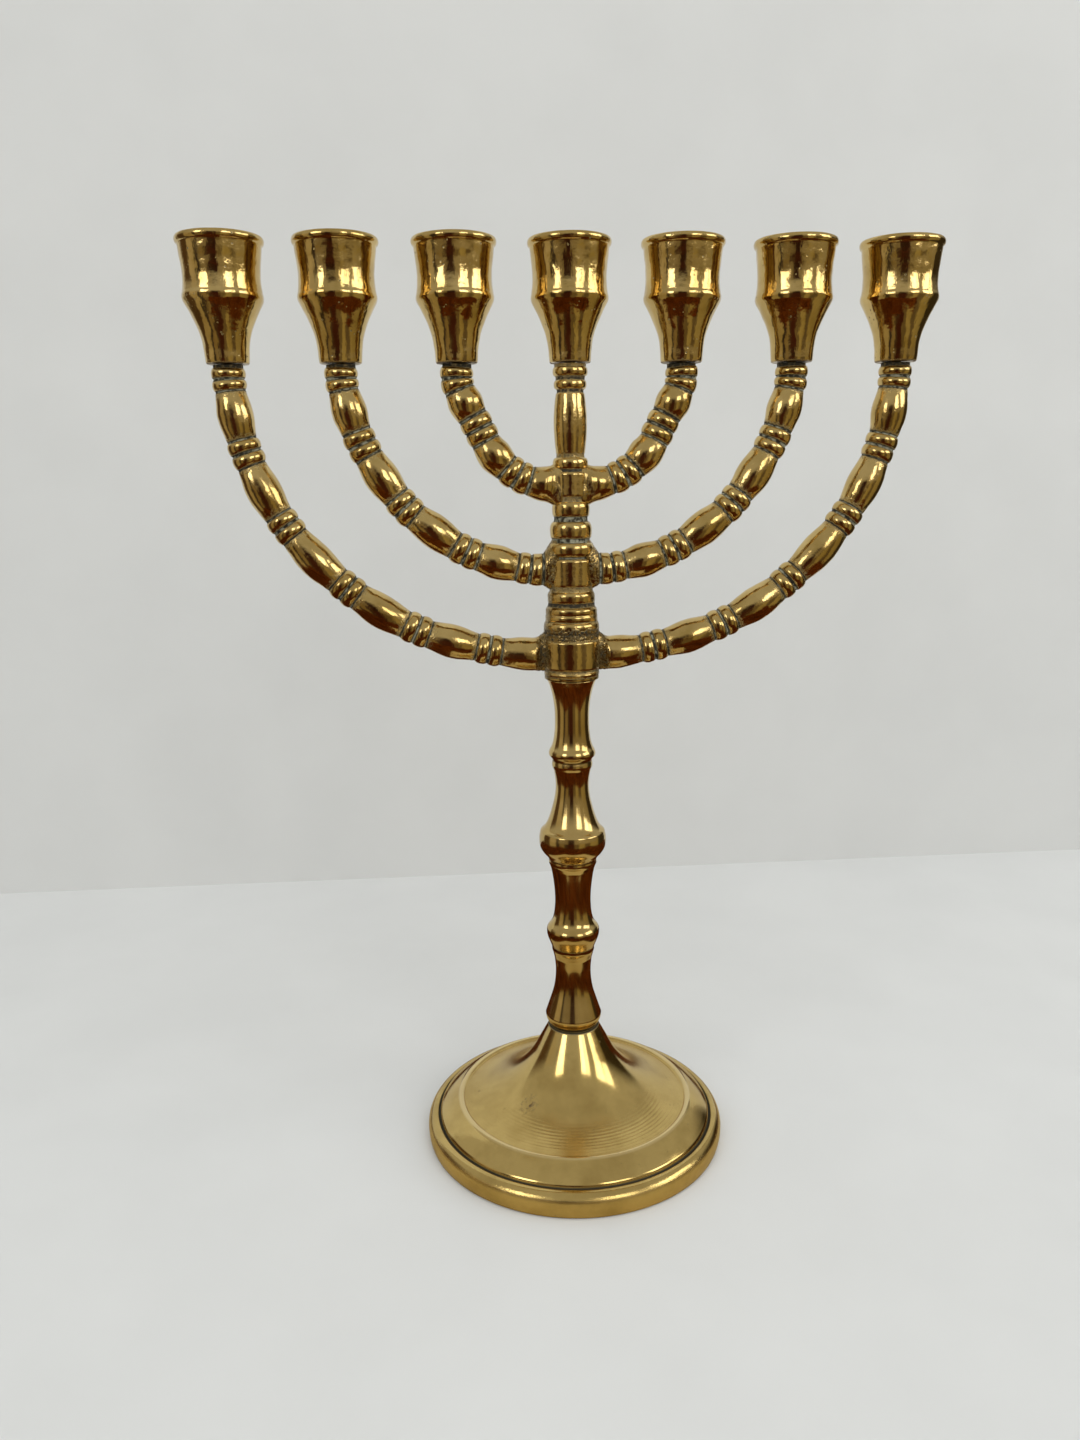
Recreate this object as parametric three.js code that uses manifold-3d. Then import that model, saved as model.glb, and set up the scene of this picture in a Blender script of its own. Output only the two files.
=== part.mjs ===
// A seven-cup brass menorah on a turned stem and a round dished base.
// Millimetres, +Z up. The origin is the centre of the base's foot ring, and the seven cups stand
// in one row along X. The six branches are separate castings, each let into a boss of the column by
// a tenon and brazed. Each cup is held on its tip by a screw through its floor, and one tie rod
// pulls the column, the stem and the base together.
import * as THREE from "three";
import { mergeVertices } from "three/addons/utils/BufferGeometryUtils.js";
import Module from "manifold-3d";

const wasm = await Module();
wasm.setup();

// ---- Driving dimensions ----
const HEIGHT = 300; // foot ring to cup rim
const GAP = 0.3; // between the faces of two pieces that touch
const BASE_RADIUS = 52.3;
const BASE_TOP = 41; // where the stem's foot stands
const STEM_TOP = 164.6;
const CUP_BOTTOM = 264;
const CUP_FLOOR = 279.5; // floor of the candle socket
const SOCKET_RADIUS = 10.2; // takes a standard candle, about 20 mm thick at its foot

const ROD_RADIUS = 3;
const ROD_BORE = ROD_RADIUS + 0.4;
const ROD_BOTTOM = 25.5;
const ROD_TOP = 179.5;
const NUT_SEAT = 33.5; // flat under the top of the base
const WASHER_RADIUS = 7;
const WASHER_THICKNESS = 1.2;
const NUT_RADIUS = 5.8; // to the corners of its hexagon
const NUT_HEIGHT = 5;

const SCREW_RADIUS = 1.6;
const SCREW_BORE = SCREW_RADIUS + GAP;
const SCREW_TIP = 256.5;
const SCREW_HEAD_RADIUS = 3.2;
const SCREW_HEAD_HEIGHT = 1.7;
const RECESS_RADIUS = SCREW_HEAD_RADIUS + 0.5; // the head sinks below the socket's floor
const RECESS_FLOOR = CUP_FLOOR - SCREW_HEAD_HEIGHT - 2 * GAP;
const SLOT_WIDTH = 0.9;
const SLOT_DEPTH = 0.9;

const TIP_TOP = CUP_BOTTOM - GAP; // top of a branch and of the column
const BEAD = { groove: 4.5, ring: 5.15, barrel: 5.3 }; // radii along a branch
const RING_PITCH = 4.4; // between the two rings of a pair
const PAIR_HALF = 3.9; // half the length of a pair, with the grooves beside it
const FIRST_PAIR = 3.4; // from the tip to the middle of the pair under the cup

const SIDES = { base: 36, stem: 18, column: 16, cup: 14, branch: 8, bore: 10, cut: 24 };

// Each branch: its route from the tip down to the column, in the plane y = 0 on the +X side, the
// distances between its pairs of rings, the radius that its root is cut to, and its tenon.
const BRANCHES = {
  inner: {
    route: [[35, TIP_TOP], [35, 258], [29, 245.4], [24.5, 237.2], [17.2, 230.5], [10, 227.7], [0, 227.3]],
    pairGaps: [15.7, 19.3],
    rootRadius: 5.9,
    tenon: { radius: 1.9, from: 1.8 },
  },
  middle: {
    route: [[70.3, TIP_TOP], [70.2, 258], [65, 240.2], [52.5, 221], [43.4, 213.2], [32.8, 206.4], [14, 200.8], [0, 200.4]],
    pairGaps: [21.1, 23, 23.6, 21.2],
    rootRadius: 7.5,
    tenon: { radius: 2.6, from: 1.8 },
  },
  outer: {
    route: [
      [104.1, TIP_TOP], [104, 258], [100.4, 238], [89.7, 215.6], [71.7, 195.8], [50.5, 182.2], [27.5, 175], [12, 173],
      [0, 173],
    ],
    pairGaps: [22.9, 24.9, 26.8, 25.5, 24.2],
    rootRadius: 9.5,
    tenon: { radius: 2.6, from: 4.6 },
  },
};

const BRASS = { color: 0xc9a24c, roughness: 0.22, metalness: 1 };
const SATIN_BRASS = { color: 0xc2a052, roughness: 0.35, metalness: 1 };
const SCREW_BRASS = { color: 0xb08a3e, roughness: 0.4, metalness: 1 };
const STEEL = { color: 0x9a9c9e, roughness: 0.45, metalness: 1 };

// ---- Helpers ----
// A body of revolution about Z from [radius, height] points, counter-clockwise around the material.
function turned(profile, sides) {
  const points = profile.map(([radius, z]) => new THREE.Vector2(radius, z));
  return new THREE.LatheGeometry(points, sides).rotateX(Math.PI / 2);
}

function rod(radius, from, to, sides) {
  return turned([[0, from], [radius, from], [radius, to], [0, to]], sides);
}

// A straight bar along X from one x to another, at height z.
function crossBar(radius, fromX, toX, z) {
  const length = Math.abs(toX - fromX);
  const bar = new THREE.CylinderGeometry(radius, radius, length, SIDES.bore);
  return bar.rotateZ(Math.PI / 2).translate((fromX + toX) / 2, 0, z);
}

function solidOf(geometry) {
  const bare = geometry.clone();
  bare.deleteAttribute("normal");
  bare.deleteAttribute("uv");
  const merged = mergeVertices(bare, 1e-3);
  return new wasm.Manifold(new wasm.Mesh({
    numProp: 3,
    vertProperties: new Float32Array(merged.attributes.position.array),
    triVerts: new Uint32Array(merged.index.array),
  }));
}

function geometryOf(solid) {
  const mesh = solid.getMesh();
  const geometry = new THREE.BufferGeometry();
  geometry.setAttribute("position", new THREE.BufferAttribute(mesh.vertProperties, 3));
  geometry.setIndex(new THREE.BufferAttribute(mesh.triVerts, 1));
  geometry.computeVertexNormals();
  return geometry;
}

const menorah = new THREE.Group();

function place(name, geometry, look, x = 0) {
  const mesh = new THREE.Mesh(geometry, new THREE.MeshStandardMaterial(look));
  mesh.name = name;
  mesh.position.x = x;
  menorah.add(mesh);
}

// ---- Base, stem and their tie ----
// A dish that sweeps up in a trumpet to the stem's foot. Outside a raised ridge it slopes down to a
// groove and a rolled rim. It is hollow underneath and stands on its foot ring.
function baseDish() {
  return turned([
    [47, 0], [51.2, 0], [BASE_RADIUS, 2], [BASE_RADIUS, 5.5], [50.9, 7.9], [48.9, 8.7],
    [48.3, 8], [47.7, 9.3], [44.5, 12.3], [40.7, 14.2], [38.8, 13.6], [31.5, 16], [26.5, 18.4],
    [22.6, 21], [19.3, 24], [16.7, 27], [12.9, 33], [9.5, 39], [8.3, BASE_TOP],
    [ROD_BORE, BASE_TOP], [ROD_BORE, NUT_SEAT], [7.8, NUT_SEAT], [11.2, 30.5], [15.2, 24.2],
    [19.6, 19.4], [27, 15], [38, 11], [44.4, 7.5], [46.4, 4], [47, 0],
  ], SIDES.base);
}

// Turned from one bar: a rising row of necks, each swelling to a bead, a knuckle or a flared foot.
function stem() {
  return turned([
    [ROD_BORE, BASE_TOP + GAP], [8.2, BASE_TOP + GAP], [9.7, 43.6], [9.6, 45.4], [8.1, 50], [6.2, 57],
    [6.1, 62], [7.2, 68.5], [7.6, 70.6], [9, 74.6], [9, 77], [7.1, 80], [6.1, 86], [6.4, 93.5],
    [7.6, 99], [8.3, 102.8], [10.2, 105], [11.3, 107.6], [11.3, 110.4], [10.6, 113], [8.6, 116.6],
    [6.1, 124], [5.5, 129], [6.7, 135.6], [7.7, 138.4], [7.7, 140.6], [6.3, 144], [5.6, 150],
    [5.9, 156], [7.2, 161.6], [8.2, STEM_TOP], [ROD_BORE, STEM_TOP], [ROD_BORE, BASE_TOP + GAP],
  ], SIDES.stem);
}

function hexNut() {
  const outline = new THREE.Shape();
  for (let corner = 0; corner < 6; corner += 1) {
    const angle = (corner * Math.PI) / 3;
    const method = corner ? "lineTo" : "moveTo";
    outline[method](NUT_RADIUS * Math.cos(angle), NUT_RADIUS * Math.sin(angle));
  }
  outline.holes.push(new THREE.Path().absarc(0, 0, ROD_BORE, 0, 2 * Math.PI, true));
  const options = { depth: NUT_HEIGHT, bevelEnabled: false, curveSegments: SIDES.bore };
  const top = NUT_SEAT - 2 * GAP - WASHER_THICKNESS;
  return new THREE.ExtrudeGeometry(outline, options).translate(0, 0, top - NUT_HEIGHT);
}

function washer() {
  const top = NUT_SEAT - GAP;
  const bottom = top - WASHER_THICKNESS;
  return turned([
    [ROD_BORE, bottom], [WASHER_RADIUS, bottom], [WASHER_RADIUS, top], [ROD_BORE, top], [ROD_BORE, bottom],
  ], SIDES.stem);
}

// ---- Column ----
// Beads between three plain bosses, thicker towards the foot. The bosses take the branches' tenons,
// the foot takes the tie rod and the top takes the centre cup's screw.
function column() {
  const turning = turned([
    [0, STEM_TOP + GAP], [8.9, STEM_TOP + GAP], [8.9, 166.2], [8.4, 166.8], [9.2, 168.2], [9.2, 176.6],
    [8.8, 177.6], [8.9, 181], [8.1, 183], [8.3, 186], [7.2, 188.6], [7.6, 191.6], [6.6, 194.3], [7, 195.4],
    [7, 203.2], [6.4, 204.4], [7.2, 207], [6, 209.8], [6.7, 213], [5.2, 216.4], [5.9, 219.6],
    [5.1, 222.6], [5.5, 223.6], [5.5, 230.6], [5, 231.4], [5.6, 233.6], [4.6, 236.1], [5.2, 241.5],
    [5.2, 248], [4.4, 255.2], [5.3, 257.6], [4.7, 259.6], [5.4, 261.6], [5.3, TIP_TOP], [0, TIP_TOP],
  ], SIDES.column);
  let body = solidOf(turning);
  body = body.subtract(solidOf(rod(ROD_BORE, STEM_TOP - 1, ROD_TOP + GAP, SIDES.bore)));
  body = body.subtract(solidOf(rod(SCREW_BORE, SCREW_TIP - GAP, CUP_BOTTOM, SIDES.bore)));
  for (const branch of Object.values(BRANCHES)) {
    const { radius, from } = branch.tenon;
    const height = branch.route.at(-1)[1];
    for (const side of [-1, 1]) {
      const socket = crossBar(radius + 0.4, side * (from - GAP), side * (branch.rootRadius + 1), height);
      body = body.subtract(solidOf(socket));
    }
  }
  return geometryOf(body);
}

// ---- Branches ----
// Pairs of rings with a barrel between them, as [radius, distance from the tip] points.
function beading(pairGaps, length) {
  const { groove, ring, barrel } = BEAD;
  const profile = [[0, 0], [ring, 0]];
  let middle = FIRST_PAIR;
  for (let pair = 0; pair <= pairGaps.length; pair += 1) {
    const end = middle + PAIR_HALF;
    if (pair) profile.push([groove, middle - PAIR_HALF]);
    profile.push([ring, middle - RING_PITCH / 2], [groove, middle], [ring, middle + RING_PITCH / 2]);
    profile.push([groove, end]);
    const next = pair < pairGaps.length ? middle + pairGaps[pair] : length;
    const barrelEnd = pair < pairGaps.length ? next - PAIR_HALF : length;
    const third = (barrelEnd - end) / 3;
    profile.push([barrel, end + third], [barrel, end + 2 * third]);
    middle = next;
  }
  profile.push([groove, length], [0, length]);
  return profile;
}

// Lays a body turned about Z, measured from its tip, along a route in the plane y = 0.
function bentAlong(geometry, curve, length) {
  const position = geometry.attributes.position;
  for (let i = 0; i < position.count; i += 1) {
    const along = THREE.MathUtils.clamp(position.getZ(i) / length, 0, 1);
    const centre = curve.getPointAt(along);
    const heading = curve.getTangentAt(along);
    const across = position.getX(i);
    centre.x += heading.z * across;
    centre.z -= heading.x * across;
    position.setXYZ(i, centre.x, position.getY(i), centre.z);
  }
  return geometry;
}

function branchSolid({ route, pairGaps, rootRadius, tenon }) {
  const curve = new THREE.CatmullRomCurve3(route.map(([x, z]) => new THREE.Vector3(x, 0, z)));
  const length = curve.getLength();
  const rootHeight = route.at(-1)[1];
  const bent = bentAlong(turned(beading(pairGaps, length), SIDES.branch), curve, length);
  const columnSpace = rod(rootRadius, rootHeight - 20, rootHeight + 20, SIDES.cut);
  const screwHole = rod(SCREW_BORE, SCREW_TIP - GAP, CUP_BOTTOM, SIDES.bore).translate(route[0][0], 0, 0);
  return solidOf(bent)
    .subtract(solidOf(columnSpace))
    .add(solidOf(crossBar(tenon.radius, tenon.from, rootRadius + 2, rootHeight)))
    .subtract(solidOf(screwHole));
}

// ---- Cups and their screws ----
// A flared socket on a waisted neck, solid below the socket's floor and drilled for the screw,
// with a recess for its head.
function cup() {
  return turned([
    [SCREW_BORE, CUP_BOTTOM], [6.3, CUP_BOTTOM], [6.8, 268.4], [7.8, 273], [10.8, 279.8], [11.9, 282.6],
    [11.4, 289], [12, 295], [12.8, 298.8], [12.4, HEIGHT], [10.9, 299.6], [SOCKET_RADIUS, 297.5],
    [SOCKET_RADIUS, 283], [8.8, CUP_FLOOR], [RECESS_RADIUS, CUP_FLOOR], [RECESS_RADIUS, RECESS_FLOOR],
    [SCREW_BORE, RECESS_FLOOR], [SCREW_BORE, CUP_BOTTOM],
  ], SIDES.cup);
}

// A slotted screw with its head in the recess and its tip in the branch below.
function cupScrew() {
  const seat = RECESS_FLOOR + GAP;
  const top = seat + SCREW_HEAD_HEIGHT;
  const blank = turned([
    [0, SCREW_TIP], [SCREW_RADIUS, SCREW_TIP], [SCREW_RADIUS, seat], [SCREW_HEAD_RADIUS, seat],
    [SCREW_HEAD_RADIUS, top - 0.5], [0, top],
  ], SIDES.bore);
  const slot = new THREE.BoxGeometry(3 * SCREW_HEAD_RADIUS, SLOT_WIDTH, 2 * SLOT_DEPTH).translate(0, 0, top);
  return geometryOf(solidOf(blank).subtract(solidOf(slot)));
}

// ---- Assembly ----
place("base_dish", baseDish(), SATIN_BRASS);
place("stem", stem(), BRASS);
place("column", column(), BRASS);
place("tie_rod", rod(ROD_RADIUS, ROD_BOTTOM, ROD_TOP, SIDES.bore), STEEL);
place("tie_rod_washer", washer(), STEEL);
place("tie_rod_nut", hexNut(), STEEL);
place("cup_centre", cup(), BRASS);
place("cup_screw_centre", cupScrew(), SCREW_BRASS);
for (const [row, branch] of Object.entries(BRANCHES)) {
  const right = branchSolid(branch);
  place(`branch_right_${row}`, geometryOf(right), BRASS);
  place(`branch_left_${row}`, geometryOf(right.mirror([1, 0, 0])), BRASS);
  for (const [hand, side] of [["right", 1], ["left", -1]]) {
    place(`cup_${hand}_${row}`, cup(), BRASS, side * branch.route[0][0]);
    place(`cup_screw_${hand}_${row}`, cupScrew(), SCREW_BRASS, side * branch.route[0][0]);
  }
}

export default menorah;
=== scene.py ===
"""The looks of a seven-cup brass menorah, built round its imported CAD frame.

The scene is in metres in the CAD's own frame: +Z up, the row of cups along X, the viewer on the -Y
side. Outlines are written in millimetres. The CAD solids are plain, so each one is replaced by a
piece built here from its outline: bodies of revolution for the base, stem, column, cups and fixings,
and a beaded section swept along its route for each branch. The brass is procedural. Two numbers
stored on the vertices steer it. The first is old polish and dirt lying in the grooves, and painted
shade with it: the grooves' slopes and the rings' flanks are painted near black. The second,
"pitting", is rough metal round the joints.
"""
import math

import bpy
import numpy as np
from mathutils import Matrix, Vector

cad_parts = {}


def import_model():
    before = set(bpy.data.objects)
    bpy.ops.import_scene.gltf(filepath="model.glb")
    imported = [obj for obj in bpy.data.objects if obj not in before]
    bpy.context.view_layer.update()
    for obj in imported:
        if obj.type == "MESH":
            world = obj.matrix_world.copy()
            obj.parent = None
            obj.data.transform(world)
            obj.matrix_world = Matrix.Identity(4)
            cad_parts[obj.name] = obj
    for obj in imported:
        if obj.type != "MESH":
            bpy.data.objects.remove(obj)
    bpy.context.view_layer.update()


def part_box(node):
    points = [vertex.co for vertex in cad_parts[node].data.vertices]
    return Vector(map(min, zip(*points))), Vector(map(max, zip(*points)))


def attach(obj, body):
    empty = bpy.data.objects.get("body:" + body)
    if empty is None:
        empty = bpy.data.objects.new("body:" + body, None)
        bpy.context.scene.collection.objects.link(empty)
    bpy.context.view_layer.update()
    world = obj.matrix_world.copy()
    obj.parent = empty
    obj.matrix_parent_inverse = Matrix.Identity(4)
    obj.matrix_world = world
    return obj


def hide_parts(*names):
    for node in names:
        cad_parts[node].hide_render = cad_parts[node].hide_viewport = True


MM = 0.001
ROWS = ("inner", "middle", "outer")

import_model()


# ---- Sizes, in millimetres ----
def top_of(node):
    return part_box(node)[1].z / MM


def bottom_of(node):
    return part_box(node)[0].z / MM


def centre_x(node):
    low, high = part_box(node)
    return (low.x + high.x) / 2 / MM


RIM_TOP = top_of("cup_centre")
CUP_BOTTOM = bottom_of("cup_centre")
TIP_TOP = top_of("column")
COLUMN_BOTTOM = bottom_of("column")
STEM_TOP = top_of("stem")
STEM_BOTTOM = bottom_of("stem")
BASE_TOP = top_of("base_dish")
SCREW_HEAD_TOP = top_of("cup_screw_centre")
CUP_FLOOR = SCREW_HEAD_TOP + 0.2
RECESS_FLOOR = CUP_FLOOR - 2.2  # of the recess that the screw head is sunk in
SCREW_BORE = 1.9  # radii of the screw's hole, of its recess, and of the hole for the tie rod
RECESS_BORE = 3.7
ROD_BORE = 3.4
CUP_AT = {row: centre_x(f"cup_right_{row}") for row in ROWS}

FINE = 0.3  # spacing of points along an outline
# Points round each kind of piece.
SIDES = {"cup": 112, "stem": 104, "column": 128, "base": 180, "branch": 64, "small": 48}

# The branches' routes in the plane y = 0, from the tip to the axis of the column, and the distances
# between their pairs of rings.
ROUTES = {
    "inner": [(35, TIP_TOP), (35, 258), (29, 245.4), (24.5, 237.2), (17.2, 230.5), (10, 227.7), (0, 227.3)],
    "middle": [
        (70.3, TIP_TOP), (70.2, 258), (65, 240.2), (52.5, 221), (43.4, 213.2), (32.8, 206.4), (14, 200.8),
        (0, 200.4),
    ],
    "outer": [
        (104.1, TIP_TOP), (104, 258), (100.4, 238), (89.7, 215.6), (71.7, 195.8), (50.5, 182.2), (27.5, 175),
        (12, 173), (0, 173),
    ],
}
PAIR_GAPS = {
    "inner": (17.4, 18.7),
    "middle": (21.1, 23, 23.6, 21.2),
    "outer": (22.9, 24.9, 26.8, 25.5, 24.2),
}
FIRST_PAIR = 3.4  # distance from the tip that the gaps are counted from
# Where a branch meets the column: the column's radius there, how far the braze metal climbs above
# and below the branch, how far it reaches along it, and how rough it is, from 0 to 1. A branch thins
# from front to back there, to that share of its width, so that the column's boss stands proud.
ROOTS = {
    "inner": {"column": 5.3, "above": 1.0, "below": 1.7, "reach": 3.2, "pitting": 0.2, "thin": 0.8},
    "middle": {"column": 6.8, "above": 3.0, "below": 0.8, "reach": 4.6, "pitting": 0.7, "thin": 0.75},
    "outer": {"column": 9.0, "above": 2.6, "below": 0.4, "reach": 4.6, "pitting": 1.0, "thin": 0.6},
}


# ---- Curves ----
def spline(points, step):
    """A centripetal Catmull-Rom curve through the points, with a point at least every step."""
    knots = np.array(points, float)
    knots = np.vstack([2 * knots[0] - knots[1], knots, 2 * knots[-1] - knots[-2]])
    pieces = []
    for before, start, end, after in zip(knots, knots[1:], knots[2:], knots[3:]):
        gap_before = math.sqrt(np.linalg.norm(start - before))
        gap = math.sqrt(np.linalg.norm(end - start))
        gap_after = math.sqrt(np.linalg.norm(after - end))
        leaving = (start - before) / gap_before - (end - before) / (gap_before + gap) + (end - start) / gap
        arriving = (end - start) / gap - (after - start) / (gap + gap_after) + (after - end) / gap_after
        count = max(1, math.ceil(np.linalg.norm(end - start) / step))
        t = np.linspace(0, 1, count, endpoint=False)[:, None]
        pieces.append(
            (2 * t**3 - 3 * t**2 + 1) * start + (t**3 - 2 * t**2 + t) * (leaving * gap)
            + (3 * t**2 - 2 * t**3) * end + (t**3 - t**2) * (arriving * gap)
        )
    return np.vstack([*pieces, knots[-2]])


def outline(*stretches, step=FINE):
    """Joins smooth stretches of points; each starts where the last one ended, at a corner."""
    whole = [spline(stretches[0], step)]
    for stretch in stretches[1:]:
        start = whole[-1][-1]
        whole.append(spline([tuple(start), *stretch], step)[1:])
    return np.vstack(whole)


def evenly(points, step):
    """The same line with its points evenly spaced, and their distances from the start."""
    lengths = np.linalg.norm(np.diff(points, axis=0), axis=1)
    along = np.concatenate([[0], np.cumsum(lengths)])
    distance = np.linspace(0, along[-1], math.ceil(along[-1] / step) + 1)
    return np.stack([np.interp(distance, along, axis) for axis in points.T], -1), distance


def smoothstep(low, high, value):
    """0 at low and 1 at high, easing between them. Low may be the greater."""
    t = np.clip((value - low) / (high - low), 0, 1)
    return t * t * (3 - 2 * t)


def dome(distance, half):
    """1 at the middle of a bead, falling on a half circle to 0 at its edge."""
    return np.sqrt(np.clip(1 - (distance / half) ** 2, 0, 1))


# ---- Hand finishing: slow waves in the surface of the cast pieces ----
WAVES = np.random.default_rng(7)
WAVE_COUNT = 9
CRUMB_HEIGHT = 0.5  # of the roughest metal


def waves(size):
    """A smooth unevenness of about that size across, as a function of points, from -1 to 1."""
    directions = WAVES.normal(size=(WAVE_COUNT, 3))
    directions *= 2 * math.pi / size / np.linalg.norm(directions, axis=1)[:, None]
    offsets = WAVES.uniform(0, 2 * math.pi, WAVE_COUNT)
    return lambda points: np.sin(points @ directions.T + offsets).sum(-1) / WAVE_COUNT


DENTS = waves(13)
RIPPLES = waves(4.2)
CRUMBS = waves(1.1)


def hand_finish(grid, outward, dents, ripples, roughness=None):
    """Moves the points of a grid out and in a little, and crumbles them where it is rough. Dents and
    ripples are the heights of the long and the short waves."""
    height = dents * DENTS(grid) + ripples * RIPPLES(grid)
    if roughness is not None:
        height = height + CRUMB_HEIGHT * roughness * CRUMBS(grid)
    return grid + outward * height[..., None]


# ---- Meshes ----
def skin(name, grid, closed, **values):
    """A mesh over rows and columns of points, in millimetres. The columns go once round. The rows
    also close on themselves, or end in caps. Each value becomes a number on every vertex."""
    rows, columns = grid.shape[:2]
    points = grid.reshape(-1, 3)
    index = np.arange(rows * columns).reshape(rows, columns)
    right = np.roll(index, -1, axis=1)
    below, above = (index, np.roll(index, -1, axis=0)) if closed else (index[:-1], index[1:])
    right_below, right_above = (right, np.roll(right, -1, axis=0)) if closed else (right[:-1], right[1:])
    quads = np.stack([below, right_below, right_above, above], -1).reshape(-1, 4)
    faces = quads.tolist()
    if not closed:
        points = np.vstack([points, grid[0].mean(0), grid[-1].mean(0)])
        first, last = rows * columns, rows * columns + 1
        faces += [[first, b, a] for a, b in zip(index[0], right[0])]
        faces += [[last, a, b] for a, b in zip(index[-1], right[-1])]
    mesh = bpy.data.meshes.new(name)
    mesh.from_pydata((points * MM).tolist(), [], faces)
    for label, value in values.items():
        numbers = np.broadcast_to(value, (rows, columns)).ravel()
        if not closed:
            numbers = np.concatenate([numbers, [numbers[0], numbers[-1]]])
        mesh.attributes.new(label, "FLOAT", "POINT").data.foreach_set("value", numbers.astype(np.float32))
    mesh.polygons.foreach_set("use_smooth", np.ones(len(mesh.polygons), bool))
    piece = bpy.data.objects.new(name, mesh)
    bpy.context.scene.collection.objects.link(piece)
    return piece


def revolved(profile, sides):
    """Rows of points along [radius, height], columns round Z, and the outward directions."""
    angle = np.linspace(0, 2 * math.pi, sides, endpoint=False)
    radial = np.stack([np.cos(angle), np.sin(angle), np.zeros(sides)], -1)
    grid = profile[:, None, :1] * radial + profile[:, None, 1:] * np.array([0, 0, 1])
    return grid, np.broadcast_to(radial, grid.shape)


def finish_piece(piece, node, material):
    piece.data.materials.append(material)
    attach(piece, "root")
    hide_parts(node)


def closing(radius, reach):
    """The radius with every groove filled that is narrower than twice the reach, in points."""
    window = np.lib.stride_tricks.sliding_window_view
    highest = window(np.pad(radius, reach, mode="edge"), 2 * reach + 1).max(-1)
    return window(np.pad(highest, reach, mode="edge"), 2 * reach + 1).min(-1)


def smoothed(radius, reach):
    """The radius averaged over about that many points to each side."""
    kernel = np.hanning(2 * reach + 3)[1:-1]
    return np.convolve(np.pad(radius, reach, mode="edge"), kernel / kernel.sum(), mode="valid")


# ---- Materials ----
def node(tree, kind, inputs=None, **settings):
    """Adds a node. An input is a number, a colour or another node's output."""
    made = tree.nodes.new(kind)
    for key, value in settings.items():
        setattr(made, key, value)
    for key, value in (inputs or {}).items():
        if isinstance(value, bpy.types.NodeSocket):
            tree.links.new(value, made.inputs[key])
        else:
            made.inputs[key].default_value = value
    return made


def math_node(tree, operation, *values, clamp=False):
    made = node(tree, "ShaderNodeMath", dict(enumerate(values)), operation=operation, use_clamp=clamp)
    return made.outputs[0]


def ramp(tree, value, low, high, to_low=0.0, to_high=1.0):
    """Maps a range to another range, clamped."""
    inputs = {"Value": value, "From Min": low, "From Max": high, "To Min": to_low, "To Max": to_high}
    return node(tree, "ShaderNodeMapRange", inputs, clamp=True).outputs["Result"]


def mix_colour(tree, share, first, second):
    """The first colour at a share of 0 and the second at 1."""
    made = node(tree, "ShaderNodeMix", data_type="RGBA")
    # The Mix node keeps its factor in socket 0 and its two colours in sockets 6 and 7.
    for socket, value in zip((made.inputs[0], made.inputs[6], made.inputs[7]), (share, first, second)):
        if isinstance(value, bpy.types.NodeSocket):
            tree.links.new(value, socket)
        else:
            socket.default_value = value
    return made.outputs[2]


def noise(tree, vector, size, detail=2.0, roughness=0.5):
    """A noise whose blotches are about that many millimetres across."""
    inputs = {"Vector": vector, "Scale": 1 / (size * MM), "Detail": detail, "Roughness": roughness}
    return node(tree, "ShaderNodeTexNoise", inputs).outputs["Fac"]


def bump(tree, height, depth, normal=None):
    """Raises the surface by height times depth, in millimetres."""
    inputs = {"Height": height, "Distance": depth * MM, "Strength": 1.0}
    if normal is not None:
        inputs["Normal"] = normal
    return node(tree, "ShaderNodeBump", inputs).outputs["Normal"]


def place_in_piece(tree):
    return node(tree, "ShaderNodeTexCoord").outputs["Object"]


def attribute(tree, name):
    return node(tree, "ShaderNodeAttribute", attribute_name=name).outputs["Fac"]


def new_material(name):
    material = bpy.data.materials.new(name)
    material.use_nodes = True
    material.node_tree.nodes.clear()
    return material, material.node_tree


def end_material(tree, inputs):
    shader = node(tree, "ShaderNodeBsdfPrincipled", inputs)
    node(tree, "ShaderNodeOutputMaterial", {"Surface": shader.outputs["BSDF"]})


GOLD = (0.72, 0.525, 0.215, 1)
DEEP_GOLD = (0.54, 0.37, 0.125, 1)
PALE_GOLD = (0.70, 0.51, 0.19, 1)
# Pale gold of the painted highlight along the base's ridge.
HIGHLIGHT_GOLD = (0.90, 0.72, 0.38, 1)
DULL_GOLD = (0.52, 0.36, 0.12, 1)
RESIDUE_PALE = (0.36, 0.35, 0.25, 1)
# Near black, for dirt in pits and seams, and for painted shade in the grooves.
DARK_RESIDUE_AND_SHADE = (0.030, 0.025, 0.013, 1)
TARNISH = (0.10, 0.055, 0.02, 1)
SCREW_LIGHT = (0.55, 0.40, 0.17, 1)
SCREW_DARK = (0.28, 0.18, 0.07, 1)
STEEL_LIGHT = (0.52, 0.52, 0.53, 1)
STEEL_DARK = (0.30, 0.28, 0.25, 1)


def pit_cells(tree, where, size):
    """Distances from the middles of cells about that many millimetres across."""
    inputs = {"Vector": where, "Scale": 1 / (size * MM), "Randomness": 1.0}
    return node(tree, "ShaderNodeTexVoronoi", inputs).outputs["Distance"]


def gold_patches(tree, where, size):
    """Clean brass in two shades, in patches about that many millimetres across."""
    return mix_colour(tree, ramp(tree, noise(tree, where, size, 3), 0.35, 0.7), GOLD, DEEP_GOLD)


def greater(tree, first, second):
    return math_node(tree, "MAXIMUM", first, second)


def times(tree, first, second):
    return math_node(tree, "MULTIPLY", first, second)


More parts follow.
